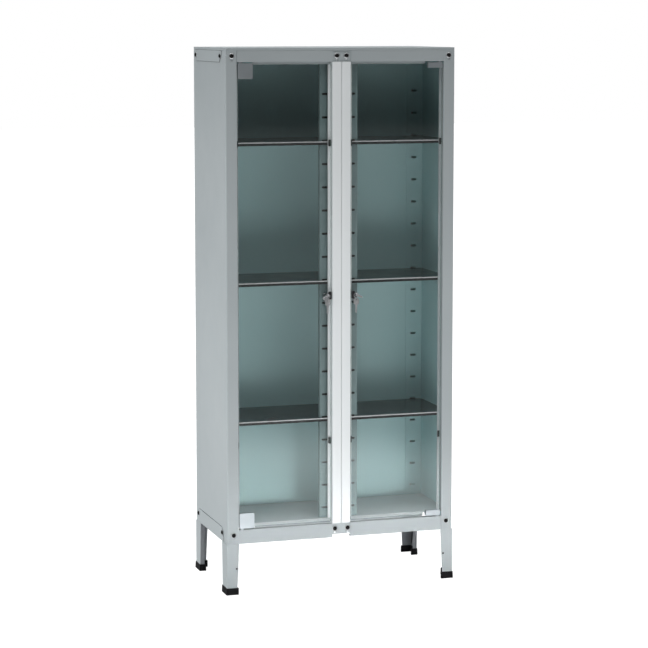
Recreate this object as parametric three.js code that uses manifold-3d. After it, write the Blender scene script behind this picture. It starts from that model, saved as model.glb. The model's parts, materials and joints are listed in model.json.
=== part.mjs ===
// Glass door medical cabinet: knock-down painted steel body on four angle legs, slotted uprights,
// three hooked shelves, and two frameless glass doors that turn on pivots at their outer corners.
// Millimetres, +Z up. The front faces -Y, and the origin is the bottom centre of the cabinet's box.

import * as THREE from 'three';
import { mergeVertices } from 'three/addons/utils/BufferGeometryUtils.js';
import Module from 'manifold-3d';

const wasm = await Module();
wasm.setup();

// Overall sizes
const width = 750;
const depth = 384;
const height = 1700;

// Sheet metal and clearances
const sheet = 1.5;
const gap = 0.3;
const cornerRadius = 5;
const arcSteps = 4;

// Body: front and rear flanges, rails, stop lips
const legHeight = 161;
const topEdge = 8;
const topRailHeight = 35;
const bottomRailHeight = 44;
const railFlange = 18;
const railNotch = 10;
const bracketLap = 14;
const frontFlange = 37;
const rearFlange = 40;
const stopSetback = 19.5;
const sideLip = 8;
const topLip = 8;
const bottomLip = 15;
const lipRelief = { clampGap: 3, slant: 14, reach: 40 };
const strap = { frontInset: 42, rearInset: 20, chamfer: 22, shoulder: 12 };
const tab = { width: 26, lap: 16 };

// Bolts: their places, and the locating hole that stays open below each front one
const bolt = { fromSide: 20.5, topDrop: 16, bottomRise: 28, topFromCentre: 15.4, bottomFromCentre: 21 };
const locatingHole = { radius: 3.4, drop: 12, sides: 16 };

// Centre post and slotted uprights
const mullionWidth = 60;
const mullionLip = 9;
const mullionEdgeRadius = 2.5;
const mullionTab = { width: 22, inset: 6, reach: 32 };
const standard = { width: 124, returnFold: 14, camGap: 4.8 };
const spacer = { width: 24, height: 30, fromEnd: 25 };
const innerDepth = 285;
const uprightFlange = 55;
const backFold = 20;
const slot = { width: 20, height: 7, pitch: 72.5, lowest: 252, topMargin: 40, fromWall: 34, fromEdge: 17 };

// Shelves
const shelf = { lipGap: 1.5, fold: 11, rearGap: 1, sideGap: 1, steel: 1.8, tabPlay: 6, tabReach: 12 };
const shelfNames = ['lower_shelf', 'middle_shelf', 'upper_shelf'];
const shelfDrop = 2;

// Legs and foot caps
const leg = { steel: 2, frontLap: 1.2, frontTaper: 8, sideTop: 60, sideTaper: 8, returnLip: 14 };
const legStrap = { rise: 38, drop: 34, inset: 10, width: 34 };
const cap = { height: 22, floor: 3, wall: 2, spread: 3, endWall: 2.5 };

// Doors
const glass = { thickness: 5, setback: 5, hingeGap: 3, freeGap: 2.5 };
const clamp = { width: 48, long: 48, short: 17, steel: 2, cornerRadius: 3 };
const gasket = { thickness: 1, margin: 2 };
const pivot = { fromEdge: 9, radius: 4, reach: 8, bossRadius: 7, doorGap: 3.5 };
const bumper = { width: 7, height: 20, hingeThickness: 2.5, fromTop: 251, fromBottom: 265 };

// Latches
const latch = { fromPost: 17, proud: 8, barrelRadius: 5.5, rosetteRadius: 6.8 };
const lockBlock = { fromPost: 3.5, width: 9, height: 24, cornerRadius: 2 };
const latchNut = { radius: 8, thickness: 3 };
const lever = { length: 18, rootRadius: 4, tipRadius: 2.5, thickness: 5, hubRadius: 4.6, hub: 4, droop: 24 };
const spindle = { radius: 3.6, proud: 0.8 };
const cam = { length: 19, rootRadius: 6, tipRadius: 4, thickness: 2, lipGap: 4.2 };

// Levels and faces worked out from the sizes above
const half = width / 2;
const sideFace = half - sheet - gap;
const sideInner = sideFace - sheet - gap;
const bodyTop = height - topEdge - gap;
const railTopLow = height - topEdge - topRailHeight;
const railBottomHigh = legHeight + bottomRailHeight;
const floorTop = railBottomHigh + bottomLip;
const openingHalf = sideFace - frontFlange;
const postHalf = mullionWidth / 2;
const lipTop = railTopLow - topLip - gap;
const lipBack = stopSetback + sheet;
const camFront = lipBack + cam.lipGap;
const camBack = camFront + cam.thickness;
const standardFront = camBack + standard.camGap;
const slotCentreX = standard.width / 2 - slot.fromEdge;
const slotWallX = half - slot.fromWall;
const slotCount = Math.floor((lipTop - slot.topMargin - slot.lowest) / slot.pitch) + 1;
const shelfFront = lipBack + shelf.lipGap;
const shelfSpacing = Math.floor(slotCount / shelfNames.length);
const glassMiddle = glass.setback + glass.thickness / 2;
const pivotX = openingHalf - glass.hingeGap - pivot.fromEdge;
const latchX = postHalf + latch.fromPost;
const latchLevel = (railTopLow + railBottomHigh) / 2;
const lipInset = glass.hingeGap + clamp.width + lipRelief.clampGap;
const legFrontTop = half - openingHalf + leg.frontLap;
const tabWidth = slot.width - shelf.tabPlay;
const leverFront = glass.setback - latch.proud - gap - lever.hub - lever.thickness;
const originY = (depth + cap.spread + leverFront) / 2;

const materials = {
  paint: { color: 0xb7bfc2, roughness: 0.45, metalness: 0.1 },
  mullionPaint: { color: 0xdfe5e7, roughness: 0.4, metalness: 0.1 },
  shelfEnamel: { color: 0x23282a, roughness: 0.2, metalness: 0.1 },
  glass: { color: 0xbfd4d0, roughness: 0.05, metalness: 0, transparent: true, opacity: 0.35 },
  rubber: { color: 0x141414, roughness: 0.8, metalness: 0 },
  lockBlack: { color: 0x1b1b1d, roughness: 0.4, metalness: 0.2 },
  chrome: { color: 0xc9cdd0, roughness: 0.2, metalness: 1 },
};

const cabinet = new THREE.Group();
cabinet.position.y = -originY;

function addPart(name, geometry, finish) {
  const mesh = new THREE.Mesh(geometry, new THREE.MeshStandardMaterial(materials[finish]));
  mesh.name = name;
  cabinet.add(mesh);
}

// Joining and cutting of closed meshes

function toSolid(geometry) {
  const bare = geometry.clone();
  bare.deleteAttribute('normal');
  bare.deleteAttribute('uv');
  const merged = mergeVertices(bare, 1e-4);
  const vertProperties = Float32Array.from(merged.attributes.position.array);
  const triVerts = Uint32Array.from(merged.index.array);
  return new wasm.Manifold(new wasm.Mesh({ numProp: 3, vertProperties, triVerts }));
}

function toGeometry(solid) {
  const mesh = solid.getMesh();
  const geometry = new THREE.BufferGeometry();
  geometry.setAttribute('position', new THREE.BufferAttribute(mesh.vertProperties, 3));
  geometry.setIndex(new THREE.BufferAttribute(mesh.triVerts, 1));
  return geometry;
}

function join(...geometries) {
  return toGeometry(geometries.map(toSolid).reduce((whole, piece) => whole.add(piece)));
}

function cut(geometry, ...tools) {
  return toGeometry(tools.map(toSolid).reduce((rest, tool) => rest.subtract(tool), toSolid(geometry)));
}

// Solids from outlines

const alongX = new THREE.Matrix4().makeBasis(
  new THREE.Vector3(0, 1, 0),
  new THREE.Vector3(0, 0, 1),
  new THREE.Vector3(1, 0, 0),
);
const alongMinusY = new THREE.Matrix4().makeBasis(
  new THREE.Vector3(1, 0, 0),
  new THREE.Vector3(0, 0, 1),
  new THREE.Vector3(0, -1, 0),
);

function extrudeZ(points, low, high) {
  const shape = new THREE.Shape(points.map(([u, v]) => new THREE.Vector2(u, v)));
  const geometry = new THREE.ExtrudeGeometry(shape, { depth: high - low, bevelEnabled: false });
  return geometry.translate(0, 0, low);
}

function extrudeX(points, low, high) {
  return extrudeZ(points, 0, high - low).applyMatrix4(alongX).translate(low, 0, 0);
}

function extrudeY(points, low, high) {
  return extrudeZ(points, 0, high - low).applyMatrix4(alongMinusY).translate(0, high, 0);
}

function box([xa, xb], [ya, yb], [za, zb]) {
  const geometry = new THREE.BoxGeometry(Math.abs(xb - xa), Math.abs(yb - ya), Math.abs(zb - za));
  return geometry.translate((xa + xb) / 2, (ya + yb) / 2, (za + zb) / 2);
}

function cylinderY(radius, x, z, [low, high], sides = 20) {
  const geometry = new THREE.CylinderGeometry(radius, radius, high - low, sides);
  return geometry.translate(0, (low + high) / 2, 0).translate(x, 0, z);
}

function cylinderZ(radius, x, y, [low, high], sides = 20) {
  const geometry = new THREE.CylinderGeometry(radius, radius, high - low, sides).rotateX(Math.PI / 2);
  return geometry.translate(x, y, (low + high) / 2);
}

function arc(centre, radius, from, to, steps) {
  return Array.from({ length: steps + 1 }, (_, i) => {
    const angle = THREE.MathUtils.degToRad(from + ((to - from) * i) / steps);
    return [centre[0] + radius * Math.cos(angle), centre[1] + radius * Math.sin(angle)];
  });
}

function roundedPlate([ua, ub], [va, vb], radius) {
  const [left, right] = [Math.min(ua, ub), Math.max(ua, ub)];
  const [low, high] = [Math.min(va, vb), Math.max(va, vb)];
  return [
    ...arc([right - radius, low + radius], radius, -90, 0, arcSteps),
    ...arc([right - radius, high - radius], radius, 0, 90, arcSteps),
    ...arc([left + radius, high - radius], radius, 90, 180, arcSteps),
    ...arc([left + radius, low + radius], radius, 180, 270, arcSteps),
  ];
}

function slotOutline(x, z) {
  const radius = slot.height / 2;
  const reach = slot.width / 2 - radius;
  return [
    ...arc([x + reach, z], radius, -90, 90, arcSteps),
    ...arc([x - reach, z], radius, 90, 270, arcSteps),
  ];
}

// A bar with a large round root and a small round tip, pointing along an angle in the front view
function linkOutline([x, z], length, rootRadius, tipRadius, angle) {
  const turn = THREE.MathUtils.degToRad(angle);
  const tip = [x + length * Math.cos(turn), z + length * Math.sin(turn)];
  return [
    ...arc([x, z], rootRadius, angle + 90, angle + 270, arcSteps * 2),
    ...arc(tip, tipRadius, angle - 90, angle + 90, arcSteps * 2),
  ];
}

// A path with one corner replaced by an arc
function roundCorner(path, index, radius) {
  const corner = new THREE.Vector2(...path[index]);
  const toBefore = new THREE.Vector2(...path[index - 1]).sub(corner).normalize();
  const toAfter = new THREE.Vector2(...path[index + 1]).sub(corner).normalize();
  const centre = corner.clone().addScaledVector(toBefore, radius).addScaledVector(toAfter, radius);
  const start = THREE.MathUtils.radToDeg(Math.atan2(-toAfter.y, -toAfter.x));
  const end = THREE.MathUtils.radToDeg(Math.atan2(-toBefore.y, -toBefore.x));
  const sweep = ((end - start + 540) % 360) - 180;
  const points = arc([centre.x, centre.y], radius, start, start + sweep, arcSteps);
  return [...path.slice(0, index), ...points, ...path.slice(index + 1)];
}

// The closed outline of a folded sheet: its outer face follows the path, its steel lies on the left
function foldedSheet(path, thickness) {
  const points = path.map((point) => new THREE.Vector2(...point));
  const normals = points.slice(1).map((point, i) => {
    const along = point.clone().sub(points[i]).normalize();
    return new THREE.Vector2(-along.y, along.x);
  });
  const inner = points.map((point, i) => {
    const before = normals[Math.max(i - 1, 0)];
    const after = normals[Math.min(i, normals.length - 1)];
    const reach = thickness / (1 + before.dot(after));
    return point.clone().addScaledVector(before, reach).addScaledVector(after, reach).toArray();
  });
  return [...path, ...inner.reverse()];
}

function mirrored(path) {
  return path.map(([x, y]) => [-x, y]).reverse();
}

// A closed solid between two outlines with the same number of points
function loftZ(lowOutline, low, highOutline, high) {
  const contour = lowOutline.map((point) => new THREE.Vector2(...point));
  const clockwise = THREE.ShapeUtils.isClockWise(contour);
  const ordered = (outline) => (clockwise ? [...outline].reverse() : outline);
  const count = lowOutline.length;
  const lowRing = ordered(lowOutline).map(([x, y]) => [x, y, low]);
  const highRing = ordered(highOutline).map(([x, y]) => [x, y, high]);
  const faces = THREE.ShapeUtils.triangulateShape(lowRing.map(([x, y]) => new THREE.Vector2(x, y)), []);
  const index = [];
  faces.forEach(([a, b, c]) => index.push(c, b, a, a + count, b + count, c + count));
  lowRing.forEach((_, i) => {
    const next = (i + 1) % count;
    index.push(i, next, next + count, i, next + count, i + count);
  });
  const geometry = new THREE.BufferGeometry();
  geometry.setAttribute('position', new THREE.Float32BufferAttribute([...lowRing, ...highRing].flat(), 3));
  geometry.setIndex(index);
  return geometry;
}

const slotLevel = (number) => slot.lowest + number * slot.pitch;

function slotCutters(x, y) {
  const levels = Array.from({ length: slotCount }, (_, number) => slotLevel(number));
  return levels.map((level) => extrudeY(slotOutline(x, level), y - sheet, y + 2 * sheet));
}

// Side panels: one folded sheet from the rear flange round to the front flange and its stop lip

function sidePanel() {
  const path = [
    [-sideFace + rearFlange, depth],
    [-sideFace, depth],
    [-sideFace, 0],
    [-openingHalf, 0],
    [-openingHalf, stopSetback],
    [-openingHalf + sideLip, stopSetback],
  ];
  return roundCorner(roundCorner(path, 2, cornerRadius), 1, cornerRadius);
}

// The stop lip is left off where the rails and the floor cross it
function lipTrims(side) {
  const across = [side * (openingHalf + 2 * sheet), side * (openingHalf - sideLip - sheet)];
  const behind = [sheet + gap / 2, stopSetback + 2 * sheet];
  return [
    box(across, behind, [lipTop, height]),
    box(across, behind, [0, floorTop + gap]),
  ];
}

const boltLevels = { top: bodyTop - bolt.topDrop, bottom: legHeight + bolt.bottomRise };

function locatingCutter(x, boltLevel, front) {
  const through = [front - gap / 2, front + sheet + gap / 2];
  return cylinderY(locatingHole.radius, x, boltLevel - locatingHole.drop, through, locatingHole.sides);
}

for (const [name, side] of [['left', -1], ['right', 1]]) {
  const path = side < 0 ? sidePanel() : mirrored(sidePanel());
  const body = extrudeZ(foldedSheet(path, sheet), legHeight, bodyTop);
  const boltX = side * (sideFace - bolt.fromSide);
  const holes = Object.values(boltLevels).map((level) => locatingCutter(boltX, level, 0));
  addPart(`${name}_side_panel`, cut(body, ...lipTrims(side), ...holes), 'paint');
}

// Rear slotted uprights, with their slotted face towards the front

for (const [name, side] of [['left', -1], ['right', 1]]) {
  const path = [
    [-sideInner, depth - 3 * sheet - 3 * gap],
    [-sideInner, innerDepth],
    [-sideInner + uprightFlange, innerDepth],
  ];
  const outline = foldedSheet(side < 0 ? path : mirrored(path), sheet);
  const body = extrudeZ(outline, railBottomHigh + gap, bodyTop);
  const cutters = slotCutters(side * slotWallX, innerDepth);
  addPart(`rear_${name}_upright`, cut(body, ...cutters), 'paint');
}

// Back, rear, floor and top panels

const backFace = innerDepth + sheet + gap;
const backHalf = slotWallX - slot.width / 2 - 4 * gap;
const backPath = [
  [backFace + backFold, bodyTop],
  [backFace, bodyTop],
  [backFace, railBottomHigh + gap],
  [backFace + backFold, railBottomHigh + gap],
];
addPart('inner_back_panel', extrudeX(foldedSheet(backPath, sheet), -backHalf, backHalf), 'paint');

const rearInner = depth - sheet - gap;
const rearHalf = sideInner - cornerRadius;
addPart(
  'rear_panel',
  box([-rearHalf, rearHalf], [rearInner - sheet, rearInner], [legHeight + gap, bodyTop]),
  'paint',
);

const floorPath = [
  [innerDepth - gap, railBottomHigh],
  [innerDepth - gap, floorTop],
  [stopSetback, floorTop],
  [stopSetback, railBottomHigh + gap],
];

// The lips stop short of the door pivots, with slanted ends
function lipRelieved(level, outward) {
  return [-1, 1].map((side) => {
    const outer = side * half;
    const inner = side * (openingHalf - lipInset);
    const tip = inner - side * lipRelief.slant;
    const far = level + outward * lipRelief.reach;
    const points = [
      [outer, level],
      [inner, level],
      [tip, far],
      [outer, far],
    ];
    return extrudeY(points, stopSetback - sheet, stopSetback + sheet + gap);
  });
}

const floorBody = extrudeX(foldedSheet(floorPath, sheet), -sideInner, sideInner);
addPart('floor_panel', cut(floorBody, ...lipRelieved(floorTop - sheet - gap, -1)), 'paint');

const topOutline = roundedPlate([-sideFace, sideFace], [0, depth], cornerRadius);
const topHollow = box(
  [-sideFace + sheet, sideFace - sheet],
  [sheet, depth - sheet],
  [height - 2 * topEdge, height - sheet],
);
addPart('top_panel', cut(extrudeZ(topOutline, height - topEdge, height), topHollow), 'paint');

// Front rails between the side panels' flanges, with tabs that bolt behind the flanges

const railHalf = openingHalf - gap;
const bracketFront = sheet + gap;
const mullionTabFront = bracketFront + sheet + gap;

function railTabs(low, high) {
  const levels = [low + sheet + gap, high - sheet - gap];
  return [-1, 1].flatMap((side) => [
    box([side * (railHalf - tab.lap), side * (railHalf + tab.width)], [sheet + gap, 2 * sheet + gap], levels),
    box([side * (railHalf - tab.lap), side * (railHalf - gap)], [sheet / 2, sheet + 2 * gap], levels),
  ]);
}

function pivotHoles(levels) {
  return [-1, 1].map((side) => cylinderZ(pivot.radius + gap, side * pivotX, glassMiddle, levels));
}

function mullionNotches(levels) {
  return [-1, 1].map((side) => {
    const near = side * (mullionTab.inset - gap);
    const far = side * (mullionTab.inset + mullionTab.width + gap);
    return box([near, far], [mullionTabFront - gap, mullionTabFront + sheet + gap], levels);
  });
}

// A plate behind each front rail shows through a window in the rail and carries the centre post's bolts
function railWindow([low, high]) {
  return box([-postHalf, postHalf], [-sheet, bracketFront], [low, high]);
}

function centreBracket(levels, boltX, boltLevel) {
  const reach = postHalf + bracketLap;
  const plate = box([-reach, reach], [bracketFront, bracketFront + sheet], levels);
  return cut(plate, ...[-1, 1].map((side) => locatingCutter(side * boltX, boltLevel, bracketFront)));
}

const topBracketLevels = [railTopLow + sheet + gap, bodyTop - sheet - gap];
const topBracket = centreBracket(topBracketLevels, bolt.topFromCentre, boltLevels.top);
addPart('top_bracket', topBracket, 'paint');

const topRailPath = [
  [railFlange, bodyTop],
  [0, bodyTop],
  [0, railTopLow],
  [stopSetback, railTopLow],
  [stopSetback, railTopLow - topLip],
];
const topRailBody = join(
  extrudeX(foldedSheet(topRailPath, sheet), -railHalf, railHalf),
  ...railTabs(railTopLow, bodyTop),
);
addPart(
  'front_top_rail',
  cut(
    topRailBody,
    ...lipRelieved(railTopLow - gap, -1),
    ...pivotHoles([railTopLow - 2 * sheet, railTopLow + 2 * sheet]),
    ...mullionNotches([railTopLow - sheet, railTopLow + 2 * sheet]),
    railWindow([railTopLow + sheet, bodyTop - sheet]),
  ),
  'paint',
);

const bottomBracketLevels = [legHeight + railNotch, railBottomHigh - sheet - gap];
const bottomBracket = centreBracket(bottomBracketLevels, bolt.bottomFromCentre, boltLevels.bottom);
addPart('bottom_bracket', bottomBracket, 'paint');

const bottomRailPath = [
  [stopSetback - gap, railBottomHigh],
  [0, railBottomHigh],
  [0, legHeight + gap],
  [railFlange, legHeight + gap],
];
const bottomRailBody = join(
  extrudeX(foldedSheet(bottomRailPath, sheet), -railHalf, railHalf),
  ...railTabs(legHeight + gap, railBottomHigh),
);
const bottomNotch = box(
  [-postHalf, postHalf],
  [-sheet, railFlange + sheet],
  [legHeight - sheet, legHeight + railNotch],
);
addPart(
  'front_bottom_rail',
  cut(
    bottomRailBody,
    bottomNotch,
    railWindow([legHeight, railBottomHigh - sheet]),
    ...pivotHoles([railBottomHigh - 2 * sheet, railBottomHigh + 2 * sheet]),
    ...mullionNotches([railBottomHigh - 2 * sheet, railBottomHigh + sheet]),
  ),
  'paint',
);

// Rear rails lie flat on the rear panel, between the rear flanges

const rearRailHalf = sideFace - rearFlange - gap;
const rearRailSpans = {
  rear_top_rail: [railTopLow, bodyTop],
  rear_bottom_rail: [legHeight + gap, railBottomHigh],
};
for (const [name, levels] of Object.entries(rearRailSpans)) {
  addPart(name, box([-rearRailHalf, rearRailHalf], [depth - sheet, depth], levels), 'paint');
}

// Side straps lie on the side panels, with cut corners towards the panel's middle

function strapOutline(edge, inner) {
  const way = Math.sign(inner - edge);
  const shoulder = edge + way * strap.shoulder;
  const front = strap.frontInset;
  const rear = depth - strap.rearInset;
  return [
    [front, edge],
    [rear, edge],
    [rear, shoulder],
    [rear - strap.chamfer, inner],
    [front + strap.chamfer, inner],
    [front, shoulder],
  ];
}

for (const [name, side] of [['left', -1], ['right', 1]]) {
  const [low, high] = side < 0 ? [-half, -half + sheet] : [half - sheet, half];
  addPart(`${name}_top_rail`, extrudeX(strapOutline(bodyTop, railTopLow), low, high), 'paint');
  const bottomOutline = strapOutline(legHeight + gap, railBottomHigh);
  addPart(`${name}_bottom_rail`, extrudeX(bottomOutline, low, high), 'paint');
}

// Centre post in two halves, each with a stop lip and tabs that bolt behind the rails

const postLow = railBottomHigh + gap;
const postHigh = railTopLow - gap;

function mullionPath() {
  const path = [
    [-postHalf - mullionLip, stopSetback],
    [-postHalf, stopSetback],
    [-postHalf, 0],
    [-gap, 0],
    [-gap, lipBack],
  ];
  return roundCorner(roundCorner(path, 3, mullionEdgeRadius), 2, mullionEdgeRadius);
}

function mullionTabs(side) {
  const across = [side * mullionTab.inset, side * (mullionTab.inset + mullionTab.width)];
  const depths = [sheet / 2, mullionTabFront + sheet];
  const behind = [mullionTabFront, mullionTabFront + sheet];
  return [
    box(across, behind, [postLow - mullionTab.reach, postLow + mullionTab.reach]),
    box(across, behind, [postHigh - mullionTab.reach, postHigh + mullionTab.reach]),
    box(across, depths, [postLow + gap, postLow + mullionTab.reach]),
    box(across, depths, [postHigh - mullionTab.reach, postHigh - gap]),
  ];
}

// The stop lip and the seam's fold end short of the rails' lip and the floor's lip
function mullionEnds(side) {
  const across = [0, side * (postHalf + mullionLip + sheet)];
  const behind = [stopSetback - gap, lipBack + sheet];
  return [box(across, behind, [lipTop, height]), box(across, behind, [0, floorTop + gap])];
}

for (const [name, side] of [['left', -1], ['right', 1]]) {
  const path = side < 0 ? mullionPath() : mirrored(mullionPath());
  const post = cut(
    extrudeZ(foldedSheet(path, sheet), postLow, postHigh),
    ...mullionEnds(side),
  );
  addPart(`mullion_${name}`, join(post, ...mullionTabs(side)), 'mullionPaint');
}

// Slotted standard behind the centre post

const standardPath = [
  [-standard.width / 2, standardFront + standard.returnFold],
  [-standard.width / 2, standardFront],
  [standard.width / 2, standardFront],
  [standard.width / 2, standardFront + standard.returnFold],
];
const standardCutters = [-1, 1].flatMap((side) => slotCutters(side * slotCentreX, standardFront));
const standardBody = extrudeZ(foldedSheet(standardPath, sheet), floorTop + gap, railTopLow);
addPart('centre_standard', cut(standardBody, ...standardCutters), 'paint');

// Spacers hold the standard off the centre post, so that a latch cam can turn in between them

const spacerLevels = {
  lower_standard_spacer: floorTop + spacer.fromEnd,
  upper_standard_spacer: lipTop - spacer.fromEnd - spacer.height,
};
for (const [name, low] of Object.entries(spacerLevels)) {
  const across = [-spacer.width / 2, spacer.width / 2];
  addPart(name, box(across, [lipBack + gap, standardFront - gap], [low, low + spacer.height]), 'paint');
}

// Shelves: folded trays cut round the centre standard, with tabs that rest in the slots

for (const [index, name] of shelfNames.entries()) {
  const level = slotLevel(shelfSpacing * (index + 1) - shelfDrop);
  const top = level - slot.height / 2 + gap + shelf.steel;
  const back = innerDepth - shelf.rearGap;
  const shelfHalf = sideInner - shelf.sideGap;
  const path = [
    [back, top - shelf.fold],
    [back, top],
    [shelfFront, top],
    [shelfFront, top - shelf.fold],
  ];
  const tray = extrudeX(foldedSheet(path, shelf.steel), -shelfHalf, shelfHalf);
  const notch = box(
    [-standard.width / 2 - shelf.sideGap, standard.width / 2 + shelf.sideGap],
    [shelfFront + shelf.steel, standardFront + standard.returnFold + shelf.sideGap],
    [top - 2 * shelf.fold, top + shelf.fold],
  );
  const tabs = [-1, 1].flatMap((side) => {
    const hook = (x, from, to) => box(
      [x - tabWidth / 2, x + tabWidth / 2],
      [from, to],
      [top - shelf.steel, top],
    );
    return [
      hook(side * slotWallX, back - shelf.steel, innerDepth + shelf.tabReach),
      hook(side * slotCentreX, shelfFront + shelf.steel / 2, standardFront + shelf.tabReach),
    ];
  });
  addPart(name, join(cut(tray, notch), ...tabs), 'shelfEnamel');
}

// Legs: tapered angles with a return lip, and a strap that goes up inside the side panel

function legWidths(level) {
  const drop = 1 - level / legHeight;
  return {
    front: legFrontTop - leg.frontTaper * drop,
    side: leg.sideTop - leg.sideTaper * drop,
  };
}

// Corner paths are given inward from the side face and from the front or rear face
function cornerPath(path, right, rear) {
  const points = path.map(([u, v]) => [right ? half - u : u - half, rear ? depth - v : v]);
  return right === rear ? points : points.reverse();
}

function legSection(level, grow, extend) {
  const { front, side } = legWidths(level);
  return [
    [leg.returnLip + extend, side + grow],
    [-grow, side + grow],
    [-grow, -grow],
    [front + extend, -grow],
  ];
}

const legTop = legHeight - gap;
const legLow = cap.floor + gap;

for (const rear of [false, true]) {
  for (const right of [false, true]) {
    const corner = `${rear ? 'rear' : 'front'}_${right ? 'right' : 'left'}`;
    const outline = (level, grow, extend, thickness) =>
      foldedSheet(cornerPath(legSection(level, grow, extend), right, rear), thickness);
    const angle = loftZ(outline(legLow, 0, 0, leg.steel), legLow, outline(legTop, 0, 0, leg.steel), legTop);
    const strapFace = half - sideInner;
    const across = (u) => (right ? half - u : u - half);
    const along = [legStrap.inset, legStrap.inset + legStrap.width].map((v) => (rear ? depth - v : v));
    const upper = box(
      [across(strapFace), across(strapFace + leg.steel)],
      along,
      [legTop - legStrap.drop, legHeight + legStrap.rise],
    );
    const joggle = box(
      [across(leg.steel / 2), across(strapFace + leg.steel)],
      along,
      [legTop - legStrap.drop, legTop - gap],
    );
    addPart(`${corner}_leg`, join(angle, upper, joggle), 'paint');

    const thick = leg.steel + 2 * gap;
    const shell = loftZ(
      outline(0, cap.spread, cap.endWall + cap.spread, thick + cap.spread + cap.wall),
      0,
      outline(cap.height, cap.wall, cap.endWall + cap.wall, thick + 2 * cap.wall),
      cap.height,
    );
    const pocketTop = cap.height + cap.wall;
    const pocket = loftZ(
      outline(cap.floor, gap, gap, thick),
      cap.floor,
      outline(pocketTop, gap, gap, thick),
      pocketTop,
    );
    addPart(`${corner}_foot_cap`, cut(shell, pocket), 'rubber');
  }
}

// Doors

const clampTop = railTopLow - pivot.doorGap;
const clampBottom = railBottomHigh + pivot.doorGap;
const edgeStack = clamp.steel + gasket.thickness + 2 * gap;
const glassTop = clampTop - edgeStack;
const glassBottom = clampBottom + edgeStack;
const hingeEdge = openingHalf - glass.hingeGap;
const freeEdge = postHalf + glass.freeGap;
const gasketOuter = glass.thickness / 2 + gap + gasket.thickness;
const clampInner = gasketOuter + gap;
const clampOuter = clampInner + clamp.steel;

// A clamp grips a corner of the glass: a front jaw, a short rear jaw, a bridge and a pivot pin
function doorClamp(side, edge, way, longFront) {
  const across = [side * hingeEdge, side * (hingeEdge - clamp.width)];
  const jaw = (reach, from, to) =>
    extrudeY(roundedPlate(across, [edge, edge + way * reach], clamp.cornerRadius), from, to);
  const frontReach = longFront ? clamp.long : clamp.short;
  const bridge = box(
    [side * (hingeEdge - clamp.cornerRadius), side * (hingeEdge - clamp.width + clamp.cornerRadius)],
    [glassMiddle - clampOuter, glassMiddle + clampOuter],
    [edge, edge + way * clamp.steel],
  );
  const bossEnd = edge - way * (pivot.doorGap - gap);
  const pinEnd = edge - way * (pivot.doorGap + pivot.reach);
  const span = (a, b) => [Math.min(a, b), Math.max(a, b)];
  return join(
    jaw(frontReach, glassMiddle - clampOuter, glassMiddle - clampInner),
    jaw(clamp.short, glassMiddle + clampInner, glassMiddle + clampOuter),
    bridge,
    cylinderZ(pivot.bossRadius, side * pivotX, glassMiddle, span(edge + way * clamp.steel / 2, bossEnd)),
    cylinderZ(pivot.radius, side * pivotX, glassMiddle, span(edge + way * clamp.steel / 2, pinEnd)),
  );
}

// A folded rubber gasket between the glass and the clamp's jaws
function doorGasket(side, edge, way, longFront) {
  const outer = edge + way * (clamp.steel + gap);
  const across = [side * (hingeEdge - gasket.margin), side * (hingeEdge - clamp.width + gasket.margin)];
  const front = (longFront ? clamp.long : clamp.short) - gasket.margin;
  const rear = clamp.short - gasket.margin;
  const path = [
    [glassMiddle - gasketOuter, edge + way * front],
    [glassMiddle - gasketOuter, outer],
    [glassMiddle + gasketOuter, outer],
    [glassMiddle + gasketOuter, edge + way * rear],
  ];
  const [low, high] = [Math.min(...across), Math.max(...across)];
  return extrudeX(foldedSheet(way > 0 ? path : [...path].reverse(), gasket.thickness), low, high);
}

function glassPane(side) {
  const outline = roundedPlate([side * freeEdge, side * hingeEdge], [glassBottom, glassTop], glass.hingeGap);
  const pane = extrudeY(outline, glass.setback, glass.setback + glass.thickness);
  const hole = cylinderY(latch.barrelRadius + gap, side * latchX, latchLevel, [0, 2 * glassMiddle]);
  return cut(pane, hole);
}

// A lock block beside the free edge, with a round rosette that carries the lever's spindle
function lockBody(side) {
  const x = side * latchX;
  const nearEdge = side * (postHalf + lockBlock.fromPost);
  const blockOutline = roundedPlate(
    [nearEdge, nearEdge + side * lockBlock.width],
    [latchLevel - lockBlock.height / 2, latchLevel + lockBlock.height / 2],
    lockBlock.cornerRadius,
  );
  const front = glass.setback - gap;
  const back = glass.setback + glass.thickness + gap;
  const body = join(
    extrudeY(blockOutline, glass.setback - latch.proud, front),
    cylinderY(latch.rosetteRadius, x, latchLevel, [glass.setback - latch.proud, front]),
    cylinderY(latch.barrelRadius, x, latchLevel, [front - gap, back + gap]),
    cylinderY(latchNut.radius, x, latchLevel, [back, back + latchNut.thickness], 6),
  );
  return cut(body, cylinderY(spindle.radius + gap, x, latchLevel, [-3 * latch.proud, depth]));
}

function latchLever(side) {
  const x = side * latchX;
  const angle = side < 0 ? 180 + lever.droop : -lever.droop;
  const hubBack = glass.setback - latch.proud - gap;
  const armBack = hubBack - lever.hub;
  const arm = linkOutline([x, latchLevel], lever.length, lever.rootRadius, lever.tipRadius, angle);
  return join(
    extrudeY(arm, armBack - lever.thickness, armBack),
    cylinderY(lever.hubRadius, x, latchLevel, [armBack - lever.thickness / 2, hubBack]),
    cylinderY(spindle.radius, x, latchLevel, [hubBack - gap, camBack + spindle.proud]),
  );
}

function latchCam(side) {
  const x = side * latchX;
  const outline = linkOutline([x, latchLevel], cam.length, cam.rootRadius, cam.tipRadius, -90);
  const plate = extrudeY(outline, camFront, camBack);
  return cut(plate, cylinderY(spindle.radius + gap, x, latchLevel, [0, depth]));
}

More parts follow.
